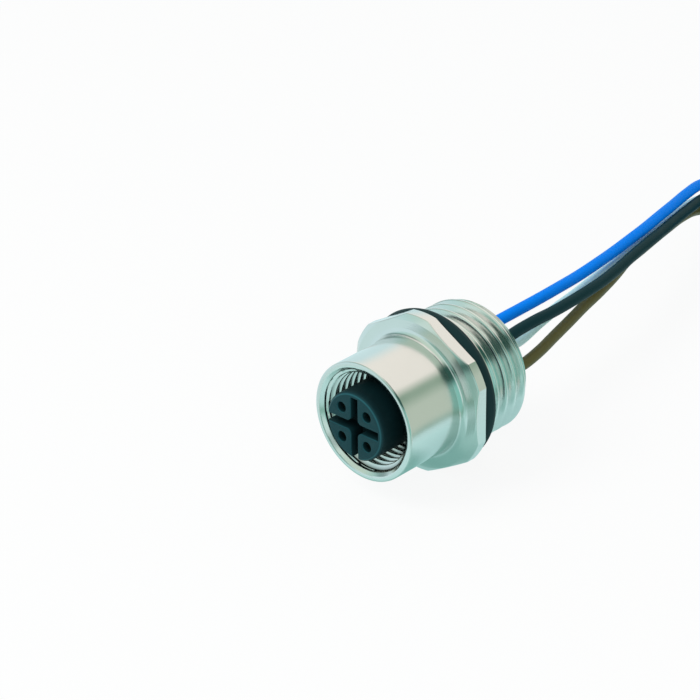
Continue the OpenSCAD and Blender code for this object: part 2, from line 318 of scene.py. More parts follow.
def smooth_line(points, steps):
    """Points on a Catmull-Rom curve through the given ones."""
    p = np.vstack([2 * points[0] - points[1], points, 2 * points[-1] - points[-2]])
    t = np.linspace(0, 1, steps, endpoint=False)[:, None]
    line = [0.5 * (2 * b + (c - a) * t + (2 * a - 5 * b + 4 * c - d) * t**2
                   + (3 * b - a - 3 * c + d) * t**3)
            for a, b, c, d in zip(p, p[1:], p[2:], p[3:])]
    return np.vstack(line + [points[-1:]])


free_lines = {}
for colour in COLOURS:
    x, z = contact_place(colour)
    start = np.array([(x, CUP_Y, z), (x, RESIN_Y, z)])
    free_lines[colour] = smooth_line(np.vstack([start, ROUTE[colour]]), ROUTE_STEPS)
print("points on the free lines:", {colour: len(line) for colour, line in free_lines.items()})

# %% [markdown]
# The photo cuts the wires off, so the rest of their length lies in a small coil
# on the same surface, outside the picture: each wire keeps its own level and winds inward.
# A wire's tail turns across the open middle of the coil and ends in a stripped tip.

# %% Coil lines
COIL_CENTRE, COIL_R, COIL_START, COIL_TURNS = np.array([-3.65, 80.0]), 9.2, 180, 2
TAIL_R, TAIL_STRAIGHT = 3.0, 1.0
TAIL_ANGLE = {"brown": 30, "white": 40, "blue": 50, "black": 60}


def polar(radius, degrees):
    """Points at a radius and an angle, as X and Y."""
    a = np.radians(degrees)
    return np.stack([radius * np.cos(a), radius * np.sin(a)], axis=-1)


def coil_line(z, tail_angle):
    """The wire's way round the coil, clockwise and inward, and the bend of its tail."""
    coil_end = tail_angle - 360 * COIL_TURNS
    turn = np.arange(COIL_START, coil_end, -6.0)[1:]
    winding = COIL_CENTRE + polar(COIL_R - WIRE_D * (COIL_START - turn) / 360, turn)
    inner_r = COIL_R - WIRE_D * (COIL_START - coil_end) / 360
    bend_centre = COIL_CENTRE + polar(inner_r - TAIL_R, tail_angle)
    bend = bend_centre + polar(TAIL_R, tail_angle - np.arange(0, 91, 10.0))
    ahead = -polar(1.0, tail_angle)
    flat = np.vstack([winding, bend, bend[-1] + ahead * TAIL_STRAIGHT])
    return np.column_stack([flat, np.full(len(flat), z)]), np.append(ahead, 0)


lines, tails = {}, {}
for colour in COLOURS:
    coil, ahead = coil_line(free_lines[colour][-1][2], TAIL_ANGLE[colour])
    lines[colour] = np.vstack([free_lines[colour], coil])
    tails[colour] = (lines[colour][-1], ahead)
    length = np.linalg.norm(np.diff(lines[colour], axis=0), axis=1).sum()
    print("the", colour, "wire is", round(length, 1), "mm long, and", STRIP, "mm are stripped")

# %% [markdown]
# Insulation is extruded, so a wire is equally thick and round all the way along.
# A tube of faces would do, but a curve with a round section keeps the line easy to change.

# %% Wires
def new_object(name, mesh, material):
    """Links a mesh or curve to the scene as a piece that rides on the part."""
    obj = bpy.data.objects.new(name, mesh)
    scene.collection.objects.link(obj)
    mesh.materials.clear()
    mesh.materials.append(material)
    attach(obj, "root")
    return obj


wires = {}
for colour, line in lines.items():
    curve = bpy.data.curves.new("wire_" + colour + "_insulation", "CURVE")
    curve.dimensions = "3D"
    spline = curve.splines.new("POLY")
    spline.points.add(len(line) - 1)
    spline.points.foreach_set("co", np.column_stack([line * MM, np.ones(len(line))]).ravel())
    curve.bevel_depth = WIRE_D / 2 * MM
    curve.bevel_resolution = 6
    curve.use_fill_caps = True
    wires[colour] = new_object(curve.name, curve, INSULATION[colour])
print("wires:", [wire.name for wire in wires.values()])

# %% [markdown]
# ## The stripped tips
#
# A fine stranded wire is twisted when it is stripped, so its tip is a small rope of tinned strands.
# Modelling each strand by hand would be slow, and a plain rod would look like solid wire.
# A tree makes one helix, repeats it round a middle strand, and sweeps a small circle along each.

# %% Strand tree
def maths(tree, operation, *values):
    """A maths node; returns its output."""
    return add(tree, "ShaderNodeMath", dict(enumerate(values)), operation=operation).outputs[0]


def start_tree(name, inputs):
    """A geometry tree with named inputs; returns it and the inputs' links."""
    tree = bpy.data.node_groups.new(name, "GeometryNodeTree")
    for title, kind in inputs.items():
        tree.interface.new_socket(title, in_out="INPUT", socket_type="NodeSocket" + kind)
    tree.interface.new_socket("Geometry", in_out="OUTPUT", socket_type="NodeSocketGeometry")
    return tree, add(tree, "NodeGroupInput").outputs


def end_tree(tree, geometry, material):
    """Makes plain geometry of a tree's result and gives it the material."""
    real = add(tree, "GeometryNodeRealizeInstances", {0: geometry})
    painted = add(tree, "GeometryNodeSetMaterial", {"Geometry": real.outputs[0], "Material": material})
    add(tree, "NodeGroupOutput", {0: painted.outputs[0]})
    return tree


def run_tree(tree, values, mesh=None):
    """Runs a tree on a mesh with its named inputs set, and returns the plain mesh that it makes."""
    carrier = bpy.data.objects.new("carrier", mesh or bpy.data.meshes.new("carrier"))
    scene.collection.objects.link(carrier)
    modifier = carrier.modifiers.new(tree.name, "NODES")
    modifier.node_group = tree
    sockets = {s.name: s.identifier for s in tree.interface.items_tree if s.in_out == "INPUT"}
    for name, value in values.items():
        modifier[sockets[name]] = value
    result = bpy.data.meshes.new_from_object(
        carrier.evaluated_get(bpy.context.evaluated_depsgraph_get()))
    carrier.modifiers.clear()
    bpy.data.objects.remove(carrier)
    return result


def strand_tree():
    """Strands in a ring round a middle one, along Z."""
    tree, given = start_tree("Twisted strand", {"Strand radius": "Float", "Length": "Float",
                             "Turns": "Float", "Strands": "Int", "Material": "Material"})
    wide = maths(tree, "MULTIPLY", given["Strand radius"], 2.0)
    helix = add(tree, "GeometryNodeCurveSpiral", {"Resolution": 24, "Rotations": given["Turns"],
                "Start Radius": wide, "End Radius": wide, "Height": given["Length"]})
    spots = add(tree, "GeometryNodePoints", {"Count": given["Strands"]})
    share = maths(tree, "DIVIDE", add(tree, "GeometryNodeInputIndex").outputs[0], given["Strands"])
    turn = add(tree, "ShaderNodeCombineXYZ", {"Z": maths(tree, "MULTIPLY", share, math.tau)})
    ring = add(tree, "GeometryNodeInstanceOnPoints", {"Points": spots.outputs[0],
               "Instance": helix.outputs[0], "Rotation": turn.outputs[0]})
    top = add(tree, "ShaderNodeCombineXYZ", {"Z": given["Length"]})
    middle = add(tree, "GeometryNodeCurvePrimitiveLine", {"End": top.outputs[0]})
    both = add(tree, "GeometryNodeJoinGeometry")
    tree.links.new(ring.outputs[0], both.inputs[0])
    tree.links.new(middle.outputs[0], both.inputs[0])
    real = add(tree, "GeometryNodeRealizeInstances", {0: both.outputs[0]})
    section = add(tree, "GeometryNodeCurvePrimitiveCircle", {"Resolution": 10,
                  "Radius": given["Strand radius"]})
    swept = add(tree, "GeometryNodeCurveToMesh", {"Curve": real.outputs[0],
                "Profile Curve": section.outputs[0], "Fill Caps": True})
    return end_tree(tree, swept.outputs[0], given["Material"])


STRAND = 0.13
rope = run_tree(strand_tree(), {"Strand radius": STRAND * MM, "Length": STRIP * MM, "Turns": 0.6,
                                "Strands": 6, "Material": TIN})
print("each tip has", len(rope.polygons), "faces")

# %% [markdown]
# A copy of the rope goes to the end of each wire and points the way the wire ends.

# %% Tips
def crisp(mesh, angle):
    """Smooth faces, with sharp edges where faces meet at more than the angle in degrees."""
    mesh.polygons.foreach_set("use_smooth", [True] * len(mesh.polygons))
    mesh.set_sharp_from_angle(angle=math.radians(angle))


for colour, wire in wires.items():
    place, ahead = tails[colour]
    mesh = rope.copy()
    turn = Vector(ahead).to_track_quat("Z", "Y").to_matrix().to_4x4()
    mesh.transform(Matrix.Translation(Vector(place * MM)) @ turn)
    tip = new_object("wire_" + colour + "_tip", mesh, TIN)
    crisp(mesh, 50)
    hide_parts("wire_end_" + colour)
    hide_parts("wire_" + colour)
    x, z = contact_place(colour)
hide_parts("wire_coil")
print("tips:", len(tails), "with", STRIP, "mm each")

# %% [markdown]
# ## The coil's tie
#
# A short nylon tie holds the spare length together.
# Its band goes once round the bundle and through a small head, and its tail sticks out.
# It is small and dark, so plain blocks and a band with rounded corners are enough.

# %% Tie band and head
TIE_ANGLE, TIE_W, TIE_T, TIE_CORNER = -60, 2.4, 0.35, 0.6
BUNDLE_R, BUNDLE_Z = (5.04, 10.1), (-9.6, -3.8)
HEAD_R, HEAD_W, HEAD_Z = (6.1, 9.1), 2.6, (-3.9, -2.2)
TIE_TAIL_R, TIE_TAIL_Z = 3.4, -3.2


def grid_faces(rows, columns, closed):
    """Faces between rows of points. Each row closes on itself; if closed, the last meets the first."""
    return [(i * columns + j, i * columns + (j + 1) % columns,
             (i + 1) % rows * columns + (j + 1) % columns, (i + 1) % rows * columns + j)
            for i in range(rows if closed else rows - 1) for j in range(columns)]


def mesh_from(name, points, faces, angle=30):
    """A mesh from points in millimetres, with its faces turned outward."""
    mesh = bpy.data.meshes.new(name)
    mesh.from_pydata((np.asarray(points) * MM).tolist(), [], faces)
    shape = bmesh.new()
    shape.from_mesh(mesh)
    bmesh.ops.remove_doubles(shape, verts=shape.verts, dist=1e-7)
    bmesh.ops.recalc_face_normals(shape, faces=shape.faces)
    shape.to_mesh(mesh)
    shape.free()
    crisp(mesh, angle)
    return mesh


def tie_place(radial, along, z):
    """From the tie's own radial and sideways directions into the row's frame."""
    out, side = polar(1.0, TIE_ANGLE), polar(1.0, TIE_ANGLE + 90)
    flat = COIL_CENTRE + radial * out + along * side
    return flat[0], flat[1], z


def tie_band():
    """A flat strip round the bundle: four walls with rounded corners."""
    (r0, r1), (z0, z1) = ((low + TIE_CORNER, high - TIE_CORNER) for low, high in (BUNDLE_R, BUNDLE_Z))
    loop = []
    for r, z, start in ((r1, z0, -90), (r1, z1, 0), (r0, z1, 90), (r0, z0, 180)):
        for a in np.radians(start + np.arange(0, 91, 15)):
            loop.append((r, z, math.cos(a), math.sin(a)))
    outer, inner = TIE_CORNER, TIE_CORNER - TIE_T
    points = [tie_place(r + depth * c, along * TIE_W / 2, z + depth * s)
              for r, z, c, s in loop
              for depth, along in ((outer, -1), (outer, 1), (inner, 1), (inner, -1))]
    return points, grid_faces(len(loop), 4, True)


def tie_box(radial, along, height):
    """A plain block of the tie from three ranges."""
    points = [tie_place(r, a, z) for r in radial for a in along for z in height]
    faces = [(0, 1, 3, 2), (4, 6, 7, 5), (0, 4, 5, 1), (2, 3, 7, 6), (0, 2, 6, 4), (1, 5, 7, 3)]
    return points, faces


def joined(*shapes):
    """Several point and face lists as one."""
    points, faces = [], []
    for p, f in shapes:
        faces += [tuple(i + len(points) for i in face) for face in f]
        points += p
    return points, faces


head = tie_box(HEAD_R, (-HEAD_W / 2, HEAD_W / 2), HEAD_Z)
tail = tie_box((TIE_TAIL_R, HEAD_R[0]), (-TIE_W / 2, TIE_W / 2), (TIE_TAIL_Z, TIE_TAIL_Z + TIE_T))
tie_mesh = mesh_from("coil_tie_nylon", *joined(tie_band(), head, tail))
tie = new_object("coil_tie_nylon", tie_mesh, NYLON)
print("tie:", len(tie_mesh.polygons), "faces")

# %% [markdown]
# The tail has ratchet teeth that catch in the head. They repeat, so a tree sets one bar in a row.

# %% Tie teeth
TEETH, TOOTH_PITCH, TOOTH_START, TOOTH = 6, 0.38, 0.3, (0.2, 1.6, 0.16)


def teeth_tree():
    """Small bars in a row along X."""
    tree, given = start_tree("Ratchet teeth", {"Teeth": "Int", "Pitch": "Float", "Bar": "Vector",
                                               "Material": "Material"})
    step = add(tree, "ShaderNodeCombineXYZ", {"X": given["Pitch"]})
    row = add(tree, "GeometryNodeMeshLine", {"Count": given["Teeth"], "Offset": step.outputs[0]})
    bar = add(tree, "GeometryNodeMeshCube", {"Size": given["Bar"]})
    teeth = add(tree, "GeometryNodeInstanceOnPoints", {"Points": row.outputs[0],
                "Instance": bar.outputs[0]})
    return end_tree(tree, teeth.outputs[0], given["Material"])


teeth_mesh = run_tree(teeth_tree(), {"Teeth": TEETH, "Pitch": TOOTH_PITCH * MM, "Material": NYLON,
                                     "Bar": tuple(v * MM for v in TOOTH)})
turn = Matrix.Rotation(math.radians(TIE_ANGLE), 4, "Z")
first_tooth = Vector(tie_place(TIE_TAIL_R + TOOTH_START, 0, TIE_TAIL_Z + TIE_T)) * MM
teeth_mesh.transform(Matrix.Translation(first_tooth) @ turn)
teeth = new_object("coil_tie_teeth", teeth_mesh, NYLON)
for piece in (tie, teeth):
    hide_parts("coil_tie")
print("teeth:", len(teeth_mesh.polygons), "faces")

# %% [markdown]
# ## The housing
#
# The real housing is one piece of brass: turned from bar, milled to a hexagon, threaded and plated.
# A plain lathe shape with a picture of a thread would look flat in the bright reflections,
# so both threads are real helices.
# The base is a net of points: columns run along the axis and rows run round it.
# The first rows are the plain ones, with rounded edges, because a sharp edge catches no light.

# %% Plain rows
FLANGE_AF, FLANGE_D, FLANGE_T, FLANGE_CHAMFER = 18.0, 19.2, 1.7, 0.7
CHAMFER_SLOPE = math.radians(30)
SLEEVE_R, SLEEVE_ROWS, RIM_Y, FILLET = 7.1, (-8, -6, -4), -10.3, 0.8
RIM_ROUND, EDGE_ROUND, REAR_EDGE = 0.25, 0.1, 0.3
CORE_R, MOUTH, FLOOR_Y = 5.46, 1.0, -1.2
NECK_R, NECK_Y, REAR_Y = 7.1, 2.2, 9.0
THREAD_R, THREAD_START, THREAD_CHAMFER = 8.0, 0.5, 0.8
WEB_R, WEB_Y, CHAMBER_R = 4.55, 0.4, 6.0
FLAT_STEPS, CORNER_STEPS, FILLET_STEPS = 20, 12, 11

half_flat = math.degrees(math.acos(FLANGE_AF / FLANGE_D))
degrees = np.concatenate([
    np.concatenate([np.linspace(m - half_flat, m + half_flat, FLAT_STEPS, endpoint=False),
                    np.linspace(m + half_flat, m + 60 - half_flat, CORNER_STEPS, endpoint=False)])
    for m in range(30, 390, 60)])
phi = np.radians(degrees)
flange_r = np.minimum(FLANGE_D / 2, FLANGE_AF / 2 / np.cos(np.radians(degrees % 60 - 30)))


def ring(r, y):
    """One row of the net: radius and place along the axis for every column."""
    return np.broadcast_to(r, phi.shape), np.broadcast_to(y, phi.shape)


def bend(corner, before, after, size, steps=5):
    """Rows that round the corner between the rows before and after it."""
    c, a, b = (np.stack(ring(*p)) for p in (corner, before, after))
    a = c + size * (a - c) / np.linalg.norm(a - c, axis=0)
    b = c + size * (b - c) / np.linalg.norm(b - c, axis=0)
    return [tuple((1 - t)**2 * a + 2 * t * (1 - t) * c + t**2 * b) for t in np.linspace(0, 1, steps)]


face_y = -FLANGE_T
chamfer_r = FLANGE_D / 2 - FLANGE_CHAMFER
chamfer_y = face_y + (flange_r - chamfer_r) * math.tan(CHAMFER_SLOPE)
fillet = [ring(SLEEVE_R + FILLET * (1 - math.cos(a)), face_y - FILLET * (1 - math.sin(a)))
          for a in np.radians(np.linspace(0, 90, FILLET_STEPS))]
outside = [ring(CORE_R + MOUTH, RIM_Y)]
outside += bend((SLEEVE_R, RIM_Y), (CORE_R, RIM_Y), (SLEEVE_R, 0), RIM_ROUND, steps=7)
outside += [ring(SLEEVE_R, y) for y in SLEEVE_ROWS] + fillet + [ring(chamfer_r, face_y)]
outside += bend((flange_r, chamfer_y), (chamfer_r, face_y), (flange_r, 0), EDGE_ROUND)
outside += bend((flange_r, 0), (flange_r, face_y), (NECK_R, 0), EDGE_ROUND)
outside += [ring(NECK_R, 0), ring(NECK_R, NECK_Y), ring(THREAD_R - THREAD_START, NECK_Y)]
inside = [ring(THREAD_R - THREAD_CHAMFER, REAR_Y), ring(CHAMBER_R + REAR_EDGE, REAR_Y),
          ring(CHAMBER_R, REAR_Y - REAR_EDGE), ring(CHAMBER_R, WEB_Y), ring(WEB_R, WEB_Y),
          ring(WEB_R, FLOOR_Y), ring(CORE_R, FLOOR_Y)]
print("plain rows:", len(outside), "outside,", len(inside), "inside, each of", len(phi), "points")

# %% [markdown]
# In the threaded stretches the rows climb with the thread, so that its crests follow the net's lines.
# The plug is led in by a chamfer and a short run-in as wide as the thread.

# %% Thread rows
ENTRY_R, ENTRY, ENTRY_STEP = 6.05, 0.7, 0.08
PANEL_PITCH, COUPLING_PITCH = 1.5, 1.0
PANEL_STEPS, COUPLING_STEPS = 20, 16


def helix_rows(pitch, y0, y1, outline, per_turn):
    """Rows that climb one pitch in a turn, cut off at y0 and y1."""
    climb = (phi - phi[0]) / math.tau - 1
    count = math.ceil((y1 - y0) / pitch * per_turn) + per_turn
    rows = [np.clip(y0 + pitch * (i / per_turn + climb), y0, y1) for i in range(count + 1)]
    return [(outline(y), y) for y in rows]


def socket_outline(y):
    """The chamfered mouth, a short run-in as wide as the thread, and the bore on the crests."""
    depth = y - RIM_Y
    run_in = CORE_R + (ENTRY_R - CORE_R) * np.clip((ENTRY - depth) / ENTRY_STEP, 0, 1)
    return np.maximum(CORE_R + np.clip(MOUTH - depth, 0, None), run_in)


def thread_outline(y):
    """The panel thread's crests, with the slopes at its start and its end."""
    return np.minimum(THREAD_R, np.minimum(THREAD_R - THREAD_START + y - NECK_Y,
                                           THREAD_R - THREAD_CHAMFER + REAR_Y - y))


panel_rows = helix_rows(PANEL_PITCH, NECK_Y, REAR_Y, thread_outline, PANEL_STEPS)
coupling_rows = helix_rows(COUPLING_PITCH, RIM_Y, FLOOR_Y, socket_outline, COUPLING_STEPS)
print("thread rows:", len(panel_rows), "outside,", len(coupling_rows), "inside the sleeve")

# %% [markdown]
# Faces join the rows. Where stretches meet, equal points become one, so the skin is closed.
# Each point keeps its zone: 1 on the panel thread, 2 on the coupling thread in the sleeve, 0 elsewhere.

# %% Housing net
def net(patches):
    """Points, faces and thread zones of row patches; equal points become one."""
    index, points, zones, faces = {}, [], [], []
    width = len(phi)
    for rows, shift, zone in patches:
        ids = []
        for r, y in rows:
            row = np.stack([r * np.sin(phi), y, r * np.cos(phi)], axis=1)
            for p in row:
                key = tuple(np.round(p, 5))
                if key not in index:
                    index[key] = len(points)
                    points.append(p)
                    zones.append(0)
                zones[index[key]] = max(zones[index[key]], zone)
                ids.append(index[key])
        for i in range(len(rows) - 1):
            for j in range(width):
                wrap = j + 1 == width
                up = i + shift if wrap else i
                if up + 1 >= len(rows):
                    continue
                corners = (i * width + j, up * width + (j + 1) % width,
                           (up + 1) * width + (j + 1) % width, (i + 1) * width + j)
                face = list(dict.fromkeys(ids[c] for c in corners))
                if len(face) > 2:
                    faces.append(face)
    return points, faces, zones


points, faces, zones = net([(outside, 0, 0), (panel_rows, PANEL_STEPS, 1),
                            (inside, 0, 0), (coupling_rows, COUPLING_STEPS, 2)])
net_mesh = bpy.data.meshes.new("housing_net")
net_mesh.from_pydata((np.array(points) * MM).tolist(), [], faces)
net_mesh.attributes.new("zone", "INT", "POINT").data.foreach_set("value", zones)
print("net of the housing:", len(points), "points,", len(faces), "faces")

# %% [markdown]
# ## The threads
#
# A tree pushes the rows of a zone in or out by the rule of the thread's section.
# It finds how far each point is from the nearest crest along the axis,
# turns that into a depth with straight flanks and rounded roots, and moves the point towards it.
# A point that already lies deeper, such as one on a chamfer, stays where it is.
# It also notes how deep each point went, for the painted shade in the roots.

# %% Thread tree
CREST, FLANK = 0.07, 0.31
ROOT_ROUND, CREST_ROUND = 0.3, 0.1


def product(tree, first, *others):
    """The product of two or more values."""
    for other in others:
        first = maths(tree, "MULTIPLY", first, other)
    return first


def away_from(tree, value, centre):
    """How far a value is from a centre, either way."""
    return maths(tree, "ABSOLUTE", maths(tree, "SUBTRACT", value, centre))


def thread_tree():
    """Cuts one helical thread into the rows of its zone. Crest and flank are shares of the pitch."""
    numbers = ("Pitch", "Depth", "Radius", "Direction", "Start", "Fade start", "Fade end", "Root shade")
    tree, given = start_tree("Thread", {"Geometry": "Geometry", "Zone": "Int",
                                        **dict.fromkeys(numbers, "Float"), "Material": "Material"})
    here = add(tree, "GeometryNodeInputPosition").outputs[0]
    x, y, z = add(tree, "ShaderNodeSeparateXYZ", {0: here}).outputs
    turn = maths(tree, "DIVIDE", maths(tree, "ARCTAN2", x, z), math.tau)
    climbed = maths(tree, "SUBTRACT", maths(tree, "DIVIDE", y, given["Pitch"]), turn)
    phase = maths(tree, "FRACT", maths(tree, "ADD", climbed, given["Start"]))
    flank = maths(tree, "DIVIDE", maths(tree, "SUBTRACT", away_from(tree, phase, 0.5), CREST), FLANK)
    rooted = maths(tree, "SMOOTH_MIN", flank, 1.0, ROOT_ROUND)
    shape = maths(tree, "SMOOTH_MAX", rooted, 0.0, CREST_ROUND)
    fade = span(tree, y, given["Fade start"], given["Fade end"], 1.0, 0.0)
    depth = product(tree, given["Depth"], shape, fade)
    now = maths(tree, "SQRT", maths(tree, "ADD", product(tree, x, x), product(tree, z, z)))
    way = given["Direction"]
    reached = product(tree, way, now)
    wanted = maths(tree, "ADD", product(tree, way, given["Radius"]), depth)
    ratio = maths(tree, "DIVIDE", product(tree, way, maths(tree, "MAXIMUM", reached, wanted)), now)
    moved = add(tree, "ShaderNodeCombineXYZ", {"X": product(tree, x, ratio), "Y": y,
                "Z": product(tree, z, ratio)})
    zone = add(tree, "GeometryNodeInputNamedAttribute", {"Name": "zone"}, data_type="INT")
    chosen = add(tree, "FunctionNodeCompare", {2: zone.outputs[0], 3: given["Zone"]},
                 data_type="INT", operation="EQUAL")
    placed = add(tree, "GeometryNodeSetPosition", {"Geometry": given["Geometry"],
                 "Selection": chosen.outputs[0], "Position": moved.outputs[0]})
    cut = maths(tree, "LESS_THAN", reached, maths(tree, "ADD", wanted, 1e-6))
    # The stored root value says how much painted shade the nickel gets at each point.
    noted = add(tree, "GeometryNodeStoreNamedAttribute", {"Geometry": placed.outputs[0],
                "Selection": chosen.outputs[0], "Name": "root",
                "Value": product(tree, shape, given["Root shade"], fade, cut)},
                data_type="FLOAT", domain="POINT")
    return end_tree(tree, noted.outputs[0], given["Material"])


thread = thread_tree()
print("thread tree:", len(thread.nodes), "nodes")

# %% [markdown]
# One tree cuts both threads: each run gives it one thread's zone, pitch, depth, radius and direction.
# The roots inside the sleeve get the most painted shade.
# Edges are kept smooth along a thread, and crisp where plain faces meet.

# %% Threads
THREAD_CREASE, PLAIN_CREASE = math.radians(60), math.radians(17)

housing_mesh = run_tree(thread, {"Zone": 1, "Pitch": PANEL_PITCH * MM, "Depth": 0.82 * MM,
                                 "Radius": THREAD_R * MM, "Direction": -1.0, "Start": 0.5,
                                 "Fade start": 3.2 * MM, "Fade end": 2.6 * MM,
                                 "Root shade": 0.35, "Material": NICKEL}, net_mesh)
housing_mesh = run_tree(thread, {"Zone": 2, "Pitch": COUPLING_PITCH * MM, "Depth": 0.54 * MM,
                                 "Radius": CORE_R * MM, "Direction": 1.0, "Start": 0.0,
                                 "Fade start": -3 * MM, "Fade end": -2 * MM,
                                 "Root shade": 1.0, "Material": NICKEL}, housing_mesh)
shape = bmesh.new()
shape.from_mesh(housing_mesh)
bmesh.ops.recalc_face_normals(shape, faces=shape.faces)
zone = shape.verts.layers.int["zone"]
for face in shape.faces:
    face.smooth = True
for edge in shape.edges:
    threaded = all(v[zone] for v in edge.verts)
    edge.smooth = edge.calc_face_angle(0) < (THREAD_CREASE if threaded else PLAIN_CREASE)
open_edges = sum(not e.is_manifold for e in shape.edges)
shape.to_mesh(housing_mesh)
shape.free()
housing_mesh.name = "housing_plated"
housing = new_object("housing_plated", housing_mesh, NICKEL)
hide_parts("housing")
print("housing:", len(housing_mesh.polygons), "faces,", open_edges, "open edges")

# %% [markdown]
# ## The panel seal
#
# The seal is a moulded rubber ring, and a mould leaves a thin line round its widest place.
# It is a plain ring swept round the axis, with that line raised by a hair.

# %% Seal
SEAL_R, SEAL_SECTION = 8.15, 2.1
LINE_H, LINE_W = 0.02, 0.05
around, across = np.radians(np.arange(0, 360, 2)), np.radians(np.arange(0, 360, 7.5))
section = SEAL_SECTION / 2 * (1 - LINE_H + LINE_H * np.exp(-(np.sin(across / 2) / LINE_W)**2))
seal_points = [(math.sin(a) * (SEAL_R + s * math.cos(b)), SEAL_SECTION / 2 + s * math.sin(b),
                math.cos(a) * (SEAL_R + s * math.cos(b)))
               for a in around for b, s in zip(across, section)]
seal_faces = grid_faces(len(around), len(across), True)
seal = new_object("panel_seal_ring", mesh_from("panel_seal_ring", seal_points, seal_faces), RUBBER)
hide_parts("panel_seal")
print("seal:", len(seal_faces), "faces")

# %% [markdown]
# ## Insert and contacts
#
# The insert is moulded, so none of its edges is perfectly sharp.
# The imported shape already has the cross, the key slot and the holes.
# Rounding its edges by a tenth of a millimetre gives them the thin light lines seen in the photo.
# The contacts sit behind the lead-in holes, so little more than their slotted ends can be seen.

# %% Insert and contacts
INSERT_ROUND, CONTACT_ROUND = 0.1, 0.03


def softened(node, width, segments=2, angle=35):
    """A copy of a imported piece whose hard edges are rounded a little."""
    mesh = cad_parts[node].data.copy()
    shape = bmesh.new()
    shape.from_mesh(mesh)
    bmesh.ops.remove_doubles(shape, verts=shape.verts, dist=1e-7)
    bmesh.ops.dissolve_limit(shape, angle_limit=math.radians(1), verts=shape.verts, edges=shape.edges)
    hard = [e for e in shape.edges if e.calc_face_angle(0) > math.radians(angle)]
    bmesh.ops.bevel(shape, geom=hard, offset=width * MM, segments=segments, profile=0.5,
                    affect="EDGES", clamp_overlap=True)
    shape.to_mesh(mesh)
    shape.free()
    crisp(mesh, angle)
    return mesh


insert = new_object("contact_insert_moulding", softened("contact_insert", INSERT_ROUND, 3), INSERT)
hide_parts("contact_insert")
for colour in COLOURS:
    contact_mesh = softened("contact_" + colour, CONTACT_ROUND)
    contact = new_object("contact_" + colour + "_socket", contact_mesh, GOLD)
    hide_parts("contact_" + colour)
print("insert:", len(insert.data.polygons), "faces; one contact:", len(contact.data.polygons))

# %% [markdown]
# ## The resin
#
# Resin is poured in from the back, and it creeps up a little at the wall and at each wire.
# A flat lid would look cut off, so the surface is a net whose height follows that creep.

# %% Resin
INSERT_REAR_Y = 3.2
WALL_CREEP, WALL_REACH = 0.25, 0.25
WIRE_CREEP, WIRE_REACH = 0.3, 0.2
radii, spokes = np.linspace(0.15, CHAMBER_R - 0.01, 60), np.radians(np.arange(0, 360, 3))
radius, angle = np.meshgrid(radii, spokes, indexing="ij")
net_x, net_z = radius * np.sin(angle), radius * np.cos(angle)
creep = WALL_CREEP * np.exp((radius - CHAMBER_R) / WALL_REACH)
for colour in COLOURS:
    x, z = contact_place(colour)
    gap = np.clip(np.hypot(net_x - x, net_z - z) - WIRE_D / 2, 0, None)
    creep = np.maximum(creep, WIRE_CREEP * np.exp(-gap / WIRE_REACH))
surface = np.stack([net_x, RESIN_Y + creep, net_z], axis=-1).reshape(-1, 3).tolist()
count = len(spokes)
back = [(p[0], INSERT_REAR_Y, p[2]) for p in surface[-count:]]
resin_faces = grid_faces(len(radii) + 1, count, False)
resin_faces += [tuple(range(count)), tuple(range(len(surface), len(surface) + count))]
resin = new_object("potting_cast", mesh_from("potting_cast", surface + back, resin_faces, 60), RESIN)
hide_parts("potting")
print("resin rises up to", round(float(creep.max()), 2), "mm at the wires")

# %% [markdown]
# ## The floor
#
# The photo's ground is burnt out to white, and only a faint shadow is left on it.
# A plain white floor would come out grey, so this one is white to the camera
# and keeps a small share of real shading.
# The plating mirrors it only round the socket, and in the mirror it is dimmer under the sleeve: a painted
# shadow.

# %% Floor
FLOOR_Z = -9.6
FLOOR_TONE, FLOOR_SHADOW, FLOOR_ROUND = (0.86, 0.87, 0.87), (0.24, 0.55, 0.50), (0.58, 0.94, 0.93)
PALE = (0.64, 0.86, 0.85)
WHITE_SHARE, MIRROR_SHARE = 0.9, 0.62
SHADOW_Y, SHADOW_EDGE, MIRROR_EDGE = -7.5, (4, 7), (16, 30)


def floor_material():
    """White to the camera with a share of real shading, mirrored only round the socket, with a painted
    shadow under the sleeve.
    """
    material, tree, shader = start_material("floor_white", FLOOR_TONE, 0.9)
    rays = add(tree, "ShaderNodeLightPath").outputs
    glossy = rays["Is Glossy Ray"]
    tree.links.new(mixed(tree, glossy, FLOOR_TONE, PALE), shader.inputs["Base Color"])
    place = add(tree, "ShaderNodeTexCoord").outputs["Object"]
    y = add(tree, "ShaderNodeSeparateXYZ", {0: place}).outputs["Y"]
    # A painted shadow: in a band under the sleeve, the floor's glow in the plating turns to a darker
    # teal.
    out_of_shadow = span(tree, away_from(tree, y, SHADOW_Y * MM), *(edge * MM for edge in SHADOW_EDGE))
    mirrored_glow = mixed(tree, out_of_shadow, FLOOR_SHADOW, FLOOR_ROUND)
    glow = add(tree, "ShaderNodeEmission", {"Color": mixed(tree, glossy, (1, 1, 1), mirrored_glow)})
    seen = maths(tree, "MAXIMUM", rays["Is Camera Ray"], rays["Is Transmission Ray"])
    share = maths(tree, "ADD", product(tree, seen, WHITE_SHARE), product(tree, glossy, MIRROR_SHARE))
    lit = add(tree, "ShaderNodeMixShader", {0: share, 1: shader.outputs[0], 2: glow.outputs[0]})
    away = add(tree, "ShaderNodeVectorMath", {0: place}, operation="LENGTH").outputs["Value"]
    clear = product(tree, span(tree, away, *(edge * MM for edge in MIRROR_EDGE)), glossy)
    mix = add(tree, "ShaderNodeMixShader", {0: clear, 1: lit.outputs[0],
              2: add(tree, "ShaderNodeBsdfTransparent").outputs[0]})
    tree.links.new(mix.outputs[0], tree.nodes["Material Output"].inputs["Surface"])
    return material


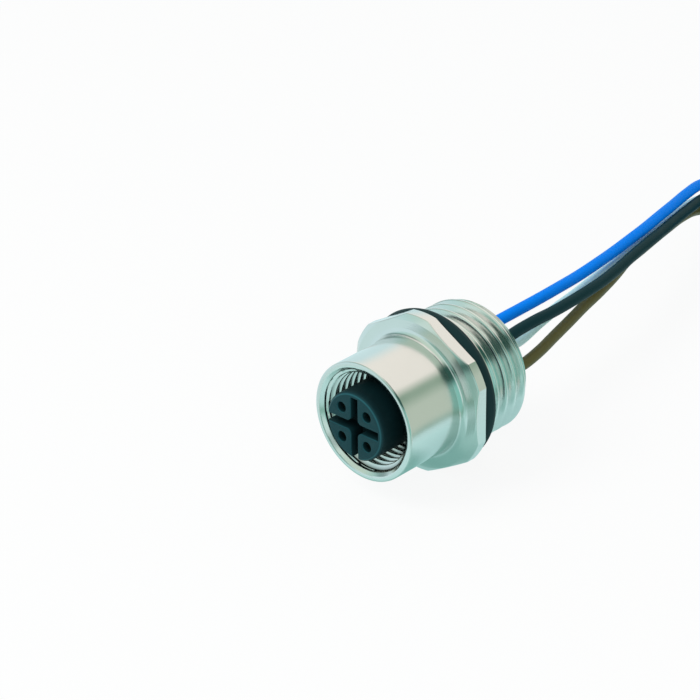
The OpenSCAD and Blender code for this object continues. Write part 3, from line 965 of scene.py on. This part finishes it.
floor_mesh = bpy.data.meshes.new("floor")
floor_mesh.from_pydata([(-3, -3, 0), (3, -3, 0), (3, 3, 0), (-3, 3, 0)], [], [(0, 1, 2, 3)])
floor_mesh.materials.append(floor_material())
floor = bpy.data.objects.new("floor", floor_mesh)
scene.collection.objects.link(floor)
floor.location.z = FLOOR_Z * MM
print("floor at", FLOOR_Z, "mm")

# %% [markdown]
# ## The room in the reflections
#
# Plated metal shows what stands round it. Real panels could stand there,
# but a painted room that only reflections see does the same and leaves the light on the plastics even.
# Its bands run round the plug axis: a cool side, a warm ceiling, a grey side, a pale ground.
# A dark gap lies between ceiling and grey side, and it widens towards the viewer.
# Two hoops run round the axis: a pale one crossed by a dark beam, and a dim one on the left.
# On the viewer's side the room is darker and greener, with a teal wall on the right, a light bar overhead
# and a dim patch straight ahead.

# %% Tones and places in the room
COOL, WARM, GREY = (0.68, 0.90, 0.93), (1.0, 0.97, 0.90), (0.56, 0.66, 0.56)
DARK, SLIT, HORIZON = (0.03, 0.10, 0.08), (0.32, 0.45, 0.35), (0.34, 0.52, 0.45)
FRONT, HOOP, SIDE = (0.62, 0.82, 0.76), (0.95, 0.97, 0.93), (0.27, 0.62, 0.55)
BAR, NEAR = (0.74, 0.93, 0.90), (0.28, 0.50, 0.44)
BANDS = [(-180, PALE), (-130, PALE), (-118, COOL), (-68, COOL), (-40, WARM), (28, WARM), (44, SLIT),
         (51, SLIT), (70, GREY), (104, GREY), (117, HORIZON), (127, PALE), (180, PALE)]
# Angles are in degrees from the top to the right. Along Y, 1 is behind the socket and -1 in front of it.
GAP_ANGLE, GAP_HALF, GAP_EDGE, GAP_OPENS = 47, 17, 7, (0.6, 0.35)
HOOP_Y, HOOP_WIDTH, HOOP_SHARE = 0.27, (0.1, 0.2), 0.8
BEAM_ANGLE, BEAM_REACH = 36, (22, 36)
DIM_Y, DIM_WIDTH, DIM_SHARE, DIM_END = -0.12, (0.15, 0.25), 0.6, (-35, -15)
SIDE_START, SIDE_END, SIDE_BACK, SIDE_FRONT = (50, 60), (105, 118), (0.4, 0.25), (-0.68, -0.74)
BAR_Y, BAR_WIDTH, BAR_SHARE = -0.8, (0.04, 0.08), 0.7
FRONT_Y, NEAR_Y = (0.1, -0.3), (-0.85, -0.91)
ABOVE_Z, UPPER_Z, RIGHT_X = (0.15, 0.45), (0.0, 0.2), (-0.1, 0.2)
print("bands in the room:", len(BANDS) - 1)

# %% [markdown]
# The room is laid in order: bands, tint, pale hoop, teal wall, patch ahead, what is dark, light bar.
# Rays that are not reflections see an even light instead.

# %% Room
EVEN_TONE, EVEN_LEVEL = (0.93, 1.0, 1.0), 0.62


def room_tone(tree):
    """What a reflection sees, by the direction in which it looks."""
    way = add(tree, "ShaderNodeTexCoord").outputs["Generated"]
    x, y, z = add(tree, "ShaderNodeSeparateXYZ", {0: way}).outputs
    turn = maths(tree, "DEGREES", maths(tree, "ARCTAN2", x, z))
    place = maths(tree, "ADD", maths(tree, "DIVIDE", turn, 360.0), 0.5)
    bands = ramp(tree, place, [(angle / 360 + 0.5, tone) for angle, tone in BANDS])
    upper = span(tree, z, *UPPER_Z)
    lit = maths(tree, "MAXIMUM", span(tree, z, *ABOVE_Z), span(tree, x, *RIGHT_X))
    tone = mixed(tree, product(tree, span(tree, y, *FRONT_Y), lit), bands, FRONT, blend_type="MULTIPLY")
    hoop = span(tree, away_from(tree, y, HOOP_Y), *HOOP_WIDTH, 1.0, 0.0)
    tone = mixed(tree, product(tree, hoop, HOOP_SHARE), tone, HOOP)
    side = product(tree, span(tree, turn, *SIDE_START), span(tree, turn, *SIDE_END, 1.0, 0.0),
                   span(tree, y, *SIDE_BACK))
    tone = mixed(tree, side, tone, mixed(tree, span(tree, y, *SIDE_FRONT), SIDE, BAR))
    tone = mixed(tree, span(tree, y, *NEAR_Y), tone, NEAR)
    half = span(tree, y, *GAP_OPENS, -GAP_EDGE, GAP_HALF)
    beside = maths(tree, "SUBTRACT", away_from(tree, turn, GAP_ANGLE), half)
    gap = span(tree, beside, -GAP_EDGE, GAP_EDGE, 1.0, 0.0)
    beam = product(tree, hoop, span(tree, away_from(tree, turn, BEAM_ANGLE), *BEAM_REACH, 1.0, 0.0))
    dim = product(tree, span(tree, away_from(tree, y, DIM_Y), *DIM_WIDTH, DIM_SHARE, 0.0), upper,
                  span(tree, turn, *DIM_END, 1.0, 0.0))
    tone = mixed(tree, maths(tree, "MAXIMUM", maths(tree, "MAXIMUM", gap, beam), dim), tone, DARK)
    bar = product(tree, span(tree, away_from(tree, y, BAR_Y), *BAR_WIDTH, BAR_SHARE, 0.0), upper)
    return mixed(tree, bar, tone, BAR)


def studio_sky():
    """Even light for matt surfaces, and the painted room for reflections."""
    world = bpy.data.worlds.new("studio")
    world.use_nodes = True
    tree = world.node_tree
    mirrored = add(tree, "ShaderNodeBackground", {"Color": room_tone(tree)})
    even = tree.nodes["Background"]
    even.inputs["Color"].default_value = (*EVEN_TONE, 1)
    even.inputs["Strength"].default_value = EVEN_LEVEL
    glossy = add(tree, "ShaderNodeLightPath").outputs["Is Glossy Ray"]
    mix = add(tree, "ShaderNodeMixShader", {0: glossy, 1: even.outputs[0], 2: mirrored.outputs[0]})
    tree.links.new(mix.outputs[0], tree.nodes["World Output"].inputs["Surface"])
    return world


scene.world = studio_sky()
print("room:", len(scene.world.node_tree.nodes), "nodes")

# %% [markdown]
# ## The lamps
#
# The photo is lit by large soft sources. Two wide lamps give the faint shadow its direction:
# a warm one from the front and above, and a weaker cool one from the right.
# They don't show in reflections, because the painted room stands there.

# %% Lamps
def soft_light(name, place, size, power, colour):
    """A wide lamp that shines at the socket and doesn't show in reflections."""
    lamp = bpy.data.lights.new(name, "AREA")
    lamp.shape = "RECTANGLE"
    lamp.size, lamp.size_y = size
    lamp.energy = power
    lamp.color = colour
    obj = bpy.data.objects.new(name, lamp)
    scene.collection.objects.link(obj)
    obj.location = place
    obj.rotation_euler = Vector(place).to_track_quat("Z", "Y").to_euler()
    obj.visible_camera = obj.visible_glossy = False
    return obj


soft_light("key", place=(-0.15, -0.25, 0.35), size=(0.25, 0.25), power=1.0, colour=(1.0, 0.98, 0.95))
soft_light("fill", place=(0.35, -0.2, 0.15), size=(0.2, 0.2), power=0.3, colour=(0.95, 1.0, 1.0))
